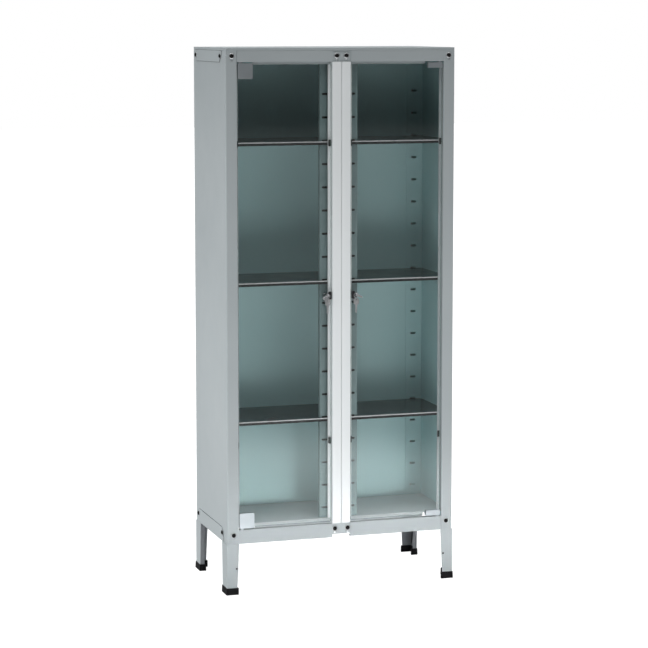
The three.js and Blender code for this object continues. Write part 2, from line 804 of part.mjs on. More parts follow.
for (const [name, side] of [['left', -1], ['right', 1]]) {
  const longFront = side < 0;
  addPart(`${name}_door_glass`, glassPane(side), 'glass');
  addPart(`${name}_top_clamp`, doorClamp(side, clampTop, -1, longFront), 'paint');
  addPart(`${name}_bottom_clamp`, doorClamp(side, clampBottom, 1, longFront), 'paint');
  addPart(`${name}_top_gasket`, doorGasket(side, clampTop, -1, longFront), 'rubber');
  addPart(`${name}_bottom_gasket`, doorGasket(side, clampBottom, 1, longFront), 'rubber');
  addPart(`${name}_lock_body`, lockBody(side), 'lockBlack');
  addPart(`${name}_lever`, latchLever(side), 'chrome');
  addPart(`${name}_cam`, latchCam(side), 'chrome');
}

// Rubber bumpers on the stop lips: thick ones at the free edges, flat ones beside the pivots

const bumperPlaces = { upper: railTopLow - bumper.fromTop, lower: railBottomHigh + bumper.fromBottom };
for (const [name, side] of [['left', -1], ['right', 1]]) {
  for (const [place, level] of Object.entries(bumperPlaces)) {
    const levels = [level - bumper.height / 2, level + bumper.height / 2];
    const backFaceY = stopSetback - gap;
    const free = side * (postHalf + mullionLip / 2);
    const hinge = side * (openingHalf - sideLip / 2);
    const across = (x) => [x - bumper.width / 2, x + bumper.width / 2];
    const contact = glass.setback + glass.thickness + gap;
    addPart(`${name}_${place}_free_bumper`, box(across(free), [contact, backFaceY], levels), 'rubber');
    const flat = [backFaceY - bumper.hingeThickness, backFaceY];
    addPart(`${name}_${place}_hinge_bumper`, box(across(hinge), flat, levels), 'rubber');
  }
}

export default cabinet;
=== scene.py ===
import json
import math

import bmesh
import bpy
from mathutils import Matrix, Vector


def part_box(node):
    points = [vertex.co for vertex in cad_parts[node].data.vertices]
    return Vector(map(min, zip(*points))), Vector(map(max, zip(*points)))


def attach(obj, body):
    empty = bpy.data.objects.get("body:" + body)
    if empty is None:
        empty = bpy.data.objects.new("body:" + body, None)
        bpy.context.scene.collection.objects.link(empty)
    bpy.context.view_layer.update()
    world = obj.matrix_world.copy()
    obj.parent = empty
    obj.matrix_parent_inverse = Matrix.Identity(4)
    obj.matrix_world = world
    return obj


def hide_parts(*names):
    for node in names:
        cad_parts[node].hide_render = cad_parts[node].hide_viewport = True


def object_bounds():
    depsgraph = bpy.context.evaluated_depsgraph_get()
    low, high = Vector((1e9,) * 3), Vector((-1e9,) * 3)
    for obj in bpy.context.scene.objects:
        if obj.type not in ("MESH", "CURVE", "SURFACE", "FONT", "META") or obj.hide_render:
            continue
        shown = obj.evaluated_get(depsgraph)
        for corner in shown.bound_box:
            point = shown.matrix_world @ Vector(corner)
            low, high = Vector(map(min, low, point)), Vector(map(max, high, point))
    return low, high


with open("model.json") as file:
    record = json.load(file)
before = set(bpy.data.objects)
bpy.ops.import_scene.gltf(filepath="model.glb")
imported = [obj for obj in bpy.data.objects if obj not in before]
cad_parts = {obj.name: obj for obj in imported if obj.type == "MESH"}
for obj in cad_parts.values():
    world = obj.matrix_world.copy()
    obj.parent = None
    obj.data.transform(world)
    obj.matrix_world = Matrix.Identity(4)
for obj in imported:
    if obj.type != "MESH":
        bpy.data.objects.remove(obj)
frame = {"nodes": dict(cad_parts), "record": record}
cadBox = [list(corner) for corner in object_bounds()]
record = frame["record"]
bodies = record["behaviour"]["bodies"]
bodyOf = {node: body for body, nodes in bodies.items() for node in nodes}
slotOf = {entry["node"]: entry["material_slot"] for entry in record["subparts"]}
sides = ("left", "right")


# finishes: every one is a node material in object space, in metres

noiseBand = (0.3, 0.7)  # most values of a noise texture lie between these


def startFinish(name, metallic=0.0, specular=0.5):
    finish = bpy.data.materials.new(name)
    finish.use_nodes = True
    nodes = finish.node_tree.nodes
    shader = nodes["Principled BSDF"]
    shader.inputs["Metallic"].default_value = metallic
    shader.inputs["Specular IOR Level"].default_value = specular
    place = nodes.new("ShaderNodeTexCoord").outputs["Object"]
    return finish, shader, place


def wire(finish, start, end):
    finish.node_tree.links.new(start, end)


def speckle(finish, place, scale, detail=2.0, stretch=None):
    nodes = finish.node_tree.nodes
    if stretch:
        mapping = nodes.new("ShaderNodeMapping")
        mapping.inputs["Scale"].default_value = stretch
        wire(finish, place, mapping.inputs["Vector"])
        place = mapping.outputs["Vector"]
    noise = nodes.new("ShaderNodeTexNoise")
    noise.inputs["Scale"].default_value = scale
    noise.inputs["Detail"].default_value = detail
    wire(finish, place, noise.inputs["Vector"])
    return noise.outputs["Fac"]


def tones(finish, source, look, band):
    ramp = finish.node_tree.nodes.new("ShaderNodeValToRGB")
    stops = zip(ramp.color_ramp.elements, band, (look["deep"], look["pale"]))
    for element, position, colour in stops:
        element.position = position
        element.color = (*colour, 1.0)
    wire(finish, source, ramp.inputs["Fac"])
    return ramp.outputs["Color"]


def mapRange(nodes, fromBand, toBand, interpolation="LINEAR"):
    reach = nodes.new("ShaderNodeMapRange")
    reach.interpolation_type = interpolation
    reach.inputs["From Min"].default_value, reach.inputs["From Max"].default_value = fromBand
    reach.inputs["To Min"].default_value, reach.inputs["To Max"].default_value = toBand
    return reach


def span(finish, source, toBand):
    reach = mapRange(finish.node_tree.nodes, noiseBand, toBand)
    wire(finish, source, reach.inputs["Value"])
    return reach.outputs["Result"]


def colourAndSheen(finish, shader, look, mottle, sheen, band=noiseBand):
    wire(finish, tones(finish, mottle, look, band), shader.inputs["Base Color"])
    wire(finish, span(finish, sheen, look["roughness"]), shader.inputs["Roughness"])


def relief(finish, shader, source, strength, depth):
    bump = finish.node_tree.nodes.new("ShaderNodeBump")
    bump.inputs["Strength"].default_value = strength
    bump.inputs["Distance"].default_value = depth
    wire(finish, source, bump.inputs["Height"])
    wire(finish, bump.outputs["Normal"], shader.inputs["Normal"])


paintGrain = {"mottleDetail": 4.0, "sheenDetail": 3.0, "peelScale": 900.0, "peelDepth": 0.0003}


def powderPaint(name, look):
    finish, shader, place = startFinish(name, look.get("metallic", 0.0), look["specular"])
    mottle = speckle(finish, place, look["mottleScale"], paintGrain["mottleDetail"])
    sheen = speckle(finish, place, look["sheenScale"], paintGrain["sheenDetail"])
    colourAndSheen(finish, shader, look, mottle, sheen)
    peel = speckle(finish, place, paintGrain["peelScale"])
    relief(finish, shader, peel, look["peel"], paintGrain["peelDepth"])
    return finish


bodyPaint = {
    "deep": (0.359, 0.398, 0.412), "pale": (0.394, 0.433, 0.446), "mottleScale": 2.4,
    "roughness": (0.36, 0.46), "sheenScale": 9.0, "peel": 0.10, "specular": 0.4,
}
postPaint = {
    "deep": (0.735, 0.770, 0.780), "pale": (0.780, 0.812, 0.822), "mottleScale": 2.0,
    "roughness": (0.32, 0.42), "sheenScale": 9.0, "peel": 0.08, "specular": 0.45,
}
linerPaint = {
    "deep": (0.462, 0.700, 0.712), "pale": (0.502, 0.740, 0.752), "mottleScale": 2.4,
    "roughness": (0.40, 0.50), "sheenScale": 9.0, "peel": 0.10, "specular": 0.35,
}
# darker than the liner: painted shade on the slotted standard and its spacers
shadedStandardPaint = {
    "deep": (0.150, 0.215, 0.220), "pale": (0.180, 0.248, 0.252), "mottleScale": 30.0,
    "roughness": (0.38, 0.52), "sheenScale": 40.0, "peel": 0.06, "specular": 0.4, "metallic": 0.25,
}
clampPaint = {
    "deep": (0.48, 0.53, 0.56), "pale": (0.54, 0.59, 0.62), "mottleScale": 14.0,
    "roughness": (0.30, 0.40), "sheenScale": 30.0, "peel": 0.08, "specular": 0.45, "metallic": 0.85,
}
# a darker paint for the legs' inner faces: painted shade under the cabinet
legShadePaint = {
    "deep": (0.220, 0.235, 0.255), "pale": (0.265, 0.280, 0.300), "mottleScale": 20.0,
    "roughness": (0.50, 0.64), "sheenScale": 30.0, "peel": 0.10, "specular": 0.3,
}
# a pale paint along the top of each shelf's front: a painted highlight on the edge
shelfHighlightPaint = {
    "deep": (0.46, 0.48, 0.49), "pale": (0.58, 0.60, 0.61), "mottleScale": 120.0,
    "roughness": (0.30, 0.45), "sheenScale": 90.0, "peel": 0.05, "specular": 0.5, "metallic": 0.25,
}


def shelfEnamel(name, look):
    finish, shader, place = startFinish(name, specular=look["specular"])
    fleck = speckle(finish, place, look["fleckScale"], look["fleckDetail"])
    sheen = speckle(finish, place, look["sheenScale"], look["sheenDetail"])
    colourAndSheen(finish, shader, look, fleck, sheen, look["fleckBand"])
    shader.inputs["Coat Weight"].default_value = look["coat"]
    shader.inputs["Coat Roughness"].default_value = look["coatRoughness"]
    wave = speckle(finish, place, look["waveScale"])
    relief(finish, shader, wave, look["wave"], look["waveDepth"])
    return finish


trayEnamel = {
    "deep": (0.012, 0.012, 0.013), "pale": (0.020, 0.021, 0.022),
    "fleckScale": 1300.0, "fleckDetail": 1.0, "fleckBand": (0.45, 0.72),
    "roughness": (0.18, 0.28), "sheenScale": 7.0, "sheenDetail": 5.0,
    "waveScale": 420.0, "wave": 0.05, "waveDepth": 0.0003,
    "coat": 0.10, "coatRoughness": 0.12, "specular": 0.35,
}

glassSmear = {"scale": 5.0, "detail": 5.0, "stretch": (1.0, 1.0, 0.35), "band": (0.35, 0.75)}


def clearGlass(name, look):
    finish, shader, place = startFinish(name, look["metallic"], look["specular"])
    smear = speckle(finish, place, glassSmear["scale"], glassSmear["detail"], glassSmear["stretch"])
    colourAndSheen(finish, shader, look, smear, smear, glassSmear["band"])
    wire(finish, span(finish, smear, look["cover"]), shader.inputs["Alpha"])
    return finish


# the pane is a metal with little cover, so that each face mirrors a few per cent
paneGlass = {
    "deep": (0.78, 0.89, 0.88), "pale": (0.84, 0.94, 0.93), "metallic": 1.0,
    "roughness": (0.02, 0.05), "cover": (0.030, 0.040), "specular": 0.5,
}
rimGlass = {
    "deep": (0.20, 0.30, 0.28), "pale": (0.30, 0.40, 0.38), "metallic": 0.0,
    "roughness": (0.06, 0.14), "cover": (0.60, 0.75), "specular": 0.5,
}

mouldGrain = {"shadeDetail": 3.0, "depth": 0.0004}


def mouldedBlack(name, look):
    finish, shader, place = startFinish(name, specular=look["specular"])
    shade = speckle(finish, place, look["shadeScale"], mouldGrain["shadeDetail"])
    colourAndSheen(finish, shader, look, shade, shade)
    grain = speckle(finish, place, look["grainScale"])
    relief(finish, shader, grain, look["grain"], mouldGrain["depth"])
    return finish


bumperRubber = {
    "deep": (0.010, 0.010, 0.010), "pale": (0.020, 0.020, 0.020), "shadeScale": 60.0,
    "roughness": (0.62, 0.80), "grainScale": 1400.0, "grain": 0.25, "specular": 0.3,
}
footPlastic = {
    "deep": (0.005, 0.005, 0.006), "pale": (0.010, 0.010, 0.011), "shadeScale": 45.0,
    "roughness": (0.45, 0.60), "grainScale": 1800.0, "grain": 0.30, "specular": 0.16,
}
boltBlack = {
    "deep": (0.004, 0.004, 0.004), "pale": (0.009, 0.009, 0.010), "shadeScale": 300.0,
    "roughness": (0.40, 0.55), "grainScale": 2500.0, "grain": 0.10, "specular": 0.20,
}
lockBlack = {
    "deep": (0.008, 0.008, 0.009), "pale": (0.016, 0.016, 0.018), "shadeScale": 120.0,
    "roughness": (0.26, 0.38), "grainScale": 2200.0, "grain": 0.12, "specular": 0.5,
}

plateGrain = {"brushDetail": 3.0, "depth": 0.0002}


def platedMetal(name, look):
    finish, shader, place = startFinish(name, metallic=1.0)
    brush = speckle(finish, place, look["brushScale"], plateGrain["brushDetail"], look["stretch"])
    colourAndSheen(finish, shader, look, brush, brush)
    relief(finish, shader, brush, look["scratch"], plateGrain["depth"])
    return finish


leverChrome = {
    "deep": (0.66, 0.68, 0.70), "pale": (0.80, 0.82, 0.83), "brushScale": 260.0,
    "stretch": (1.0, 1.0, 4.0), "roughness": (0.12, 0.24), "scratch": 0.05,
}
washerZinc = {
    "deep": (0.52, 0.54, 0.55), "pale": (0.68, 0.70, 0.71), "brushScale": 500.0,
    "stretch": (1.0, 1.0, 1.0), "roughness": (0.30, 0.44), "scratch": 0.10,
}
keySteel = {
    "deep": (0.40, 0.41, 0.42), "pale": (0.60, 0.61, 0.62), "brushScale": 500.0,
    "stretch": (1.0, 1.0, 0.3), "roughness": (0.30, 0.45), "scratch": 0.15,
}

# one finish for each material slot of the solids, then those of single pieces and faces
finishes = {
    "body_paint": powderPaint("bodyPaint", bodyPaint),
    "mullion_paint": powderPaint("postPaint", postPaint),
    "clamp_paint": powderPaint("clampPaint", clampPaint),
    "shelf_enamel": shelfEnamel("trayEnamel", trayEnamel),
    "door_glass": clearGlass("paneGlass", paneGlass),
    "bumper_rubber": mouldedBlack("bumperRubber", bumperRubber),
    "foot_plastic": mouldedBlack("footPlastic", footPlastic),
    "lock_zinc": mouldedBlack("lockBlack", lockBlack),
    "latch_chrome": platedMetal("leverChrome", leverChrome),
}
linerFinish = powderPaint("linerPaint", linerPaint)
shadedStandardFinish = powderPaint("shadedStandardPaint", shadedStandardPaint)
rimFinish = clearGlass("rimGlass", rimGlass)
zincFinish = platedMetal("washerZinc", washerZinc)
boltFinish = mouldedBlack("boltBlack", boltBlack)
legShadeFinish = powderPaint("legShadePaint", legShadePaint)
highlightFinish = powderPaint("shelfHighlightPaint", shelfHighlightPaint)
keyFinish = platedMetal("keySteel", keySteel)
linerNodes = {"inner_back_panel", "rear_left_upright", "rear_right_upright"}
# these pieces take the standard's painted shade
standardNodes = {"centre_standard", "lower_standard_spacer", "upper_standard_spacer"}


def finishFor(nodeName):
    if nodeName in standardNodes:
        return shadedStandardFinish
    return linerFinish if nodeName in linerNodes else finishes[slotOf[nodeName]]


for nodeName, node in frame["nodes"].items():
    node.data.materials.clear()
    node.data.materials.append(finishFor(nodeName))
print("finishes made:", len(bpy.data.materials))


# sheet metal with its bends and edges eased, in place of the sharp solids

easing = {
    "merge": 2e-6, "cutMerge": 1e-7, "touch": 0.0001,
    "sheetEdge": 0.0025, "bend": 0.0020, "bendSegments": 4, "edge": 0.0003,
    "shortestBend": 0.02, "topShortestBend": 0.0005, "rolled": 0.0046, "rolledSegments": 8,
    "highlightBand": 0.0032, "shelfRound": 0.0007, "legBend": 0.003,
    "plateEdge": 0.0004, "capEdge": 0.0012, "glassEdge": 0.0005, "normalWeight": 60,
}
foldAngles = {  # degrees between two faces
    "flat": 0.5, "smooth": 32.0, "edge": 35.0, "roundSmooth": 40.0, "bend": 60.0,
}
opening = {"halfWidth": 0.340, "front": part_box("left_side_panel")[0].y}


def addPiece(name, shape, materials, body):
    mesh = bpy.data.meshes.new(name)
    shape.normal_update()
    shape.to_mesh(mesh)
    shape.free()
    for material in materials:
        mesh.materials.append(material)
    piece = bpy.data.objects.new(name, mesh)
    bpy.context.scene.collection.objects.link(piece)
    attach(piece, body)
    return piece


def faceWidth(face):
    return face.calc_area() / max(edge.calc_length() for edge in face.edges)


def sharpEdges(shape, least):
    limit = math.radians(least)
    inner = [edge for edge in shape.edges if len(edge.link_faces) == 2]
    return [edge for edge in inner if edge.calc_face_angle() > limit]


def bendEdges(shape, shortest):
    bends = []
    for edge in sharpEdges(shape, foldAngles["bend"]):
        convex = edge.calc_face_angle_signed() > 0
        broad = min(faceWidth(face) for face in edge.link_faces) > easing["sheetEdge"]
        if convex and broad and edge.calc_length() > shortest:
            bends.append(edge)
    return bends


def onOpening(edge):  # the front flange rolls round to the door opening
    flat = all(abs(corner.co.y - opening["front"]) < easing["touch"] for corner in edge.verts)
    return flat and all(abs(corner.co.x) < opening["halfWidth"] for corner in edge.verts)


def ease(shape, edges, radius, segments):
    if edges:
        bmesh.ops.bevel(
            shape, geom=edges, offset=radius, offset_type="OFFSET", segments=segments,
            profile=0.5, affect="EDGES", clamp_overlap=True, loop_slide=True,
        )


def joinFlats(shape):  # one face for each flat of a solid's mesh
    bmesh.ops.remove_doubles(shape, verts=shape.verts, dist=easing["merge"])
    limit = math.radians(foldAngles["flat"])
    bmesh.ops.dissolve_limit(shape, angle_limit=limit, verts=shape.verts, edges=shape.edges)


def cleanShape(shape):  # drops what a bevel squeezed to nothing
    bmesh.ops.remove_doubles(shape, verts=shape.verts, dist=easing["merge"])
    bmesh.ops.dissolve_degenerate(shape, edges=shape.edges, dist=easing["merge"])


def smoothShade(shape, most=foldAngles["smooth"]):
    limit = math.radians(most)
    for face in shape.faces:
        face.smooth = True
    for edge in shape.edges:
        edge.smooth = len(edge.link_faces) == 2 and edge.calc_face_angle() < limit


def evenNormals(piece):
    weighted = piece.modifiers.new("evenNormals", "WEIGHTED_NORMAL")
    weighted.keep_sharp = True
    weighted.weight = easing["normalWeight"]


def easedNode(
    nodeName, bend=easing["bend"], edge=easing["edge"], shortest=easing["shortestBend"], rolled=0.0,
):
    shape = bmesh.new()
    shape.from_mesh(frame["nodes"][nodeName].data)
    joinFlats(shape)
    if rolled:
        rolls = [line for line in bendEdges(shape, shortest) if onOpening(line)]
        ease(shape, rolls, rolled, easing["rolledSegments"])
    if bend:
        ease(shape, bendEdges(shape, shortest), bend, easing["bendSegments"])
    ease(shape, sharpEdges(shape, foldAngles["edge"]), edge, 1)
    cleanShape(shape)
    shape.normal_update()
    smoothShade(shape)
    return shape


# the faces of a skin that have another finish than its outside: the side panels' inner paint, a
# painted highlight on the shelves' front edges, and painted shade on the legs' inner faces and the
# top panel's underside

insideOf = {"halfWidth": 0.3720, "front": -0.1650, "rear": 0.1935}  # a side panel's inner paint
facing = {"partly": 0.3, "mostly": 0.7, "strap": 0.9, "pane": 0.98}  # least share of a normal
shelfLip = 0.001  # how deep the tray's rounded front goes
legInward = 0.0005  # least product of a leg face's normal and its place


def panelInside(nodeName, face, spot):
    return abs(spot.x) < insideOf["halfWidth"] and insideOf["front"] < spot.y < insideOf["rear"]


# faces at the top of the tray's front get the painted highlight
def shelfHighlightFaces(nodeName, face, spot):
    low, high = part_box(nodeName)
    forward = face.normal.y < -facing["partly"] and spot.y < low.y + shelfLip
    return forward and spot.z > high.z - easing["highlightBand"]


# the leg faces that turn inward get the painted shade
def legShadedFaces(nodeName, face, spot):
    inward = min(face.normal.x * spot.x, face.normal.y * spot.y) < -legInward
    return inward and max(abs(face.normal.x), abs(face.normal.y)) > facing["mostly"]


# the top panel's downward faces take the near-black tray enamel: painted shade in the top
# compartment
def shadedUnderside(nodeName, face, spot):
    return face.normal.z < -facing["mostly"]


otherFaces = {
    "_side_panel": (panelInside, linerFinish), "_shelf": (shelfHighlightFaces, highlightFinish),
    "_leg": (legShadedFaces, legShadeFinish), "top_panel": (shadedUnderside, finishes["shelf_enamel"]),
}


def secondFinish(nodeName, shape):
    for ending, (other, finish) in otherFaces.items():
        if nodeName.endswith(ending):
            for face in shape.faces:
                face.material_index = int(other(nodeName, face, face.calc_center_median()))
            return [finish]
    return []


def cutShelfHighlight(nodeName, shape):  # the painted highlight ends at a line on the tray's front
    low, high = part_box(nodeName)
    line = Vector((0.0, low.y, high.z - easing["highlightBand"]))
    bmesh.ops.bisect_plane(
        shape, geom=shape.verts[:] + shape.edges[:] + shape.faces[:],
        plane_co=line, plane_no=(0, 0, 1), dist=easing["cutMerge"],
    )
    shape.normal_update()
    smoothShade(shape)


def easedPiece(nodeName, **sizes):
    shape = easedNode(nodeName, **sizes)
    if nodeName.endswith("_shelf"):
        cutShelfHighlight(nodeName, shape)
    materials = [finishFor(nodeName)] + secondFinish(nodeName, shape)
    piece = addPiece(nodeName + "_skin", shape, materials, bodyOf[nodeName])
    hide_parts(nodeName)
    evenNormals(piece)


for side in sides:
    easedPiece(f"{side}_side_panel", rolled=easing["rolled"])
for level in ("lower", "middle", "upper"):
    easedPiece(f"{level}_shelf", edge=easing["shelfRound"])
for end in ("front", "rear"):
    for side in sides:
        easedPiece(f"{end}_{side}_leg", bend=easing["legBend"])
panelNodes = [
    "front_top_rail", "front_bottom_rail", "floor_panel", "mullion_left", "mullion_right",
    "inner_back_panel",
]
for nodeName in panelNodes:
    easedPiece(nodeName)
easedPiece("top_panel", shortest=easing["topShortestBend"])

plateNodes = [
    "left_top_rail", "left_bottom_rail", "right_top_rail", "right_bottom_rail", "rear_top_rail",
    "rear_bottom_rail", "rear_panel", "top_bracket", "bottom_bracket",
]
for nodeName in plateNodes:
    easedPiece(nodeName, bend=0.0, edge=easing["plateEdge"])

smallEdges = {
    "_top_clamp": 0.0005, "_bottom_clamp": 0.0005, "_lock_body": 0.0008, "_lever": 0.0009,
    "_cam": 0.0003, "_upper_free_bumper": 0.0009, "_upper_hinge_bumper": 0.0009,
    "_lower_free_bumper": 0.0009, "_lower_hinge_bumper": 0.0009,
}
for side in sides:
    for ending, edge in smallEdges.items():
        easedPiece(side + ending, bend=0.0, edge=edge)
for end in ("front", "rear"):
    for side in sides:
        easedPiece(f"{end}_{side}_foot_cap", bend=0.0, edge=easing["capEdge"])
print("eased pieces made")


def glassDoor(side):
    nodeName = side + "_door_glass"
    shape = easedNode(nodeName, bend=0.0, edge=easing["glassEdge"])
    for face in shape.faces:
        face.material_index = 0 if abs(face.normal.y) > facing["pane"] else 1
    materials = [finishes["door_glass"], rimFinish]
    piece = addPiece(nodeName + "_pane", shape, materials, bodyOf[nodeName])
    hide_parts(nodeName)


for side in sides:
    glassDoor(side)
print("glass doors made")


# helpers for the small pieces that only the looks have

def circle(steps):
    return [2 * math.pi * step / steps for step in range(steps)]


def band(shape, near, far, index=0):  # quads between two rings with as many corners
    for step, corner in enumerate(near):
        after = (step + 1) % len(near)
        face = shape.faces.new((corner, near[after], far[after], far[step]))
        face.material_index = index


# a thin black strip round each side strap paints the shadow of the gap under it, as a seam

strapSeam = {"margin": 0.0009, "thickness": 0.00025, "touch": 0.0002, "topGap": 0.0005}


def strapOutline(nodeName, sign):
    low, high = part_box(nodeName)
    outer = high.x if sign > 0 else low.x
    shape = bmesh.new()
    shape.from_mesh(frame["nodes"][nodeName].data)
    for face in list(shape.faces):
        turned = face.normal.x * sign < facing["strap"]
        if turned or abs(face.calc_center_median().x - outer) > strapSeam["touch"]:
            shape.faces.remove(face)
    loose = [corner for corner in shape.verts if not corner.link_faces]
    bmesh.ops.delete(shape, geom=loose, context="VERTS")
    joinFlats(shape)
    largest = max(shape.faces, key=lambda face: face.calc_area())
    outline = [(corner.co.y, corner.co.z) for corner in largest.verts]
    shape.free()
    return outline


def widened(values):  # spread from their middle, by the margin at the ends
    low, high = min(values), max(values)
    middle = (low + high) / 2
    growth = 1 + 2 * strapSeam["margin"] / (high - low)
    return [middle + (value - middle) * growth for value in values]


def shadowSeam(nodeName):
    sign = 1 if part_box(nodeName)[1].x > 0 else -1
    depths, heights = [widened(values) for values in zip(*strapOutline(nodeName, sign))]
    ceiling = cadBox[1][2] - strapSeam["topGap"]
    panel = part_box("right_side_panel")[1].x * sign
    shape = bmesh.new()
    rings = []
    for lift in (0.0, strapSeam["thickness"]):
        spots = [(panel + sign * lift, y, min(z, ceiling)) for y, z in zip(depths, heights)]
        rings.append([shape.verts.new(spot) for spot in spots])
    band(shape, *rings)
    shape.faces.new(rings[0][::-1])
    shape.faces.new(rings[1])
    bmesh.ops.recalc_face_normals(shape, faces=shape.faces)
    smoothShade(shape)
    # black rubber finish for the painted shadow round the strap
    materials = [finishes["bumper_rubber"]]
    addPiece(nodeName + "_shadow_seam", shape, materials, "cabinet_body")


for side in sides:
    for level in ("top", "bottom"):
        shadowSeam(f"{side}_{level}_rail")
print("strap seams made")


# bolts: a domed black head with a hexagon socket on a plated washer

boltSizes = {
    "segments": 24, "washerRadius": 0.0088, "washer": 0.0008, "headRadius": 0.0064, "head": 0.0031,
    "socketRadius": 0.0032, "socketDepth": 0.0018, "chamfer": 0.0002,
}
boltShape = {  # as parts of the sizes above
    "washerWall": 0.6, "washerBevel": 0.5, "headWall": 0.35, "dome": ((0.90, 0.70), (0.74, 0.92)),
    "socketMouth": 1.12, "socketFoot": 0.97,
}


def hexRadius(radius, angle):
    return radius * math.cos(math.pi / 6) / math.cos(angle % (math.pi / 3) - math.pi / 6)


def boltRings(size):  # radius and height of each ring, from the sheet outward
    washer, head, chamfer = size["washer"], size["head"], size["chamfer"]
    wide, dome, socket = size["washerRadius"], size["headRadius"], size["socketRadius"]
    top = washer + head
    washerRings = [
        (wide, 0.0), (wide, washer * boltShape["washerWall"]),
        (wide - washer * boltShape["washerBevel"], washer), (dome + chamfer, washer),
    ]
    headRings = [
        (dome, washer + chamfer), (dome, washer + head * boltShape["headWall"]),
        *[(dome * across, washer + head * up) for across, up in boltShape["dome"]],
    ]
    socketRings = [
        (socket * boltShape["socketMouth"], top), (socket, top - chamfer),
        (socket * boltShape["socketFoot"], top - size["socketDepth"]),
    ]
    return washerRings, headRings, socketRings


def addBolt(shape, centre, outward, size):
    turn = Vector((0, 0, 1)).rotation_difference(Vector(outward)).to_matrix().to_4x4()
    place = Matrix.Translation(centre) @ turn
    loops = []
    # the washer is round and plated, the head round and black, the socket hexagonal and black
    for rings, hexagon, index in zip(boltRings(size), (False, False, True), (0, 1, 1)):
        for radius, height in rings:
            loop = []
            for angle in circle(size["segments"]):
                reach = hexRadius(radius, angle) if hexagon else radius
                spot = Vector((reach * math.cos(angle), reach * math.sin(angle), height))
                loop.append(shape.verts.new(place @ spot))
            loops.append((loop, index))
    for (low, _), (high, index) in zip(loops, loops[1:]):
        band(shape, low, high, index)
    shape.faces.new(loops[0][0][::-1]).material_index = 0
    shape.faces.new(loops[-1][0]).material_index = 1


def boltGroup(name, places, size=boltSizes):
    shape = bmesh.new()
    for centre, outward in places:
        addBolt(shape, Vector(centre), outward, size)
    smoothShade(shape, foldAngles["roundSmooth"])
    addPiece(name, shape, [zincFinish, boltFinish], "cabinet_body")


boltPlaces = {
    "fromSide": 0.0223, "topLevel": 1.6757, "bottomLevel": 0.189,
    "topFromCentre": 0.0154, "bottomFromCentre": 0.021,
    "sideFront": 0.052, "sideRear": 0.038, "sideTop": 1.6757, "sideBottom": 0.190,
    "legFromSide": 0.0312, "legLevel": 0.083,
}
legBolt = dict(
    boltSizes, washerRadius=0.0034, headRadius=0.0029, head=0.0016,
    socketRadius=0.0013, socketDepth=0.0009,
)
forward, rearward = (0, -1, 0), (0, 1, 0)
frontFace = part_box("front_top_rail")[0].y
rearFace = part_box("rear_top_rail")[1].y
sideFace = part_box("right_top_rail")[1].x
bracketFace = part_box("top_bracket")[0].y
postX = sideFace - boltPlaces["fromSide"]
legX = sideFace - boltPlaces["legFromSide"]
levels = (boltPlaces["topLevel"], boltPlaces["bottomLevel"])

postSpots = [(x, z) for x in (-postX, postX) for z in levels]
boltGroup("front_post_bolts", [((x, frontFace, z), forward) for x, z in postSpots])
centreSpots = zip((boltPlaces["topFromCentre"], boltPlaces["bottomFromCentre"]), levels)
centreBolts = [((s * x, bracketFace, z), forward) for x, z in centreSpots for s in (-1, 1)]
boltGroup("centre_post_bolts", centreBolts)
boltGroup("rear_post_bolts", [((x, rearFace, z), rearward) for x, z in postSpots])
sideSpots = [
    (y, z) for y in (frontFace + boltPlaces["sideFront"], rearFace - boltPlaces["sideRear"])
    for z in (boltPlaces["sideTop"], boltPlaces["sideBottom"])
]
sideBolts = [((s * sideFace, y, z), (s, 0, 0)) for s in (-1, 1) for y, z in sideSpots]
boltGroup("side_strap_bolts", sideBolts)
legScrews = [((s * legX, frontFace, boltPlaces["legLevel"]), forward) for s in (-1, 1)]
boltGroup("leg_screws", legScrews, legBolt)
print("bolts made")


# a key on a ring hangs from each lock's spindle hub

keySizes = {  # ringLift and linkOverlap are in wire radii
    "hubFromCentre": 0.047, "hubRadius": 0.0046, "neckDepth": 0.0020,
    "ringRadius": 0.0075, "ringWire": 0.0007, "ringLift": 1.3, "ringSteps": 40, "ringFacets": 10,
    "linkRadius": 0.0030, "linkWire": 0.0006, "linkOverlap": 2.2, "linkSteps": 28, "linkFacets": 8,
    "linkWidth": 0.5,  # a narrow link, clear of the lever when it turns
    "bowWidth": 0.0170, "bowHeight": 0.0200, "bowThickness": 0.0020, "bowSteps": 40,
    "squareness": 0.55, "taper": 0.16, "hole": 0.0024, "holeRim": 0.0022,
    "bladeWidth": 0.0068, "bladeLength": 0.0270, "bladeThickness": 0.0016, "bladeOverlap": 0.0008,
}
bladeShape = {  # places as parts of the blade's half width and of its length
    "tip": ((-1.0, 0.92), (-0.2, 1.0), (0.6, 0.96)),
    "cuts": ((0.50, 0.86), (0.70, 0.75), (0.40, 0.64), (0.80, 0.52), (0.45, 0.42), (0.75, 0.30)),
    "shoulder": (1.0, 0.22),
}


def wireRing(shape, kind, centre, first, second):
    radius, wireRadius = keySizes[kind + "Radius"], keySizes[kind + "Wire"]
    third = first.cross(second)
    loops = []
    for angle in circle(keySizes[kind + "Steps"]):
        spoke = first * math.cos(angle) + second * math.sin(angle)
        loop = []
        for roll in circle(keySizes[kind + "Facets"]):
            inPlane = spoke * (radius + wireRadius * math.cos(roll))
            loop.append(shape.verts.new(centre + inPlane + third * (wireRadius * math.sin(roll))))
        loops.append(loop)
    for near, far in zip(loops, loops[1:] + loops[:1]):
        band(shape, far, near)


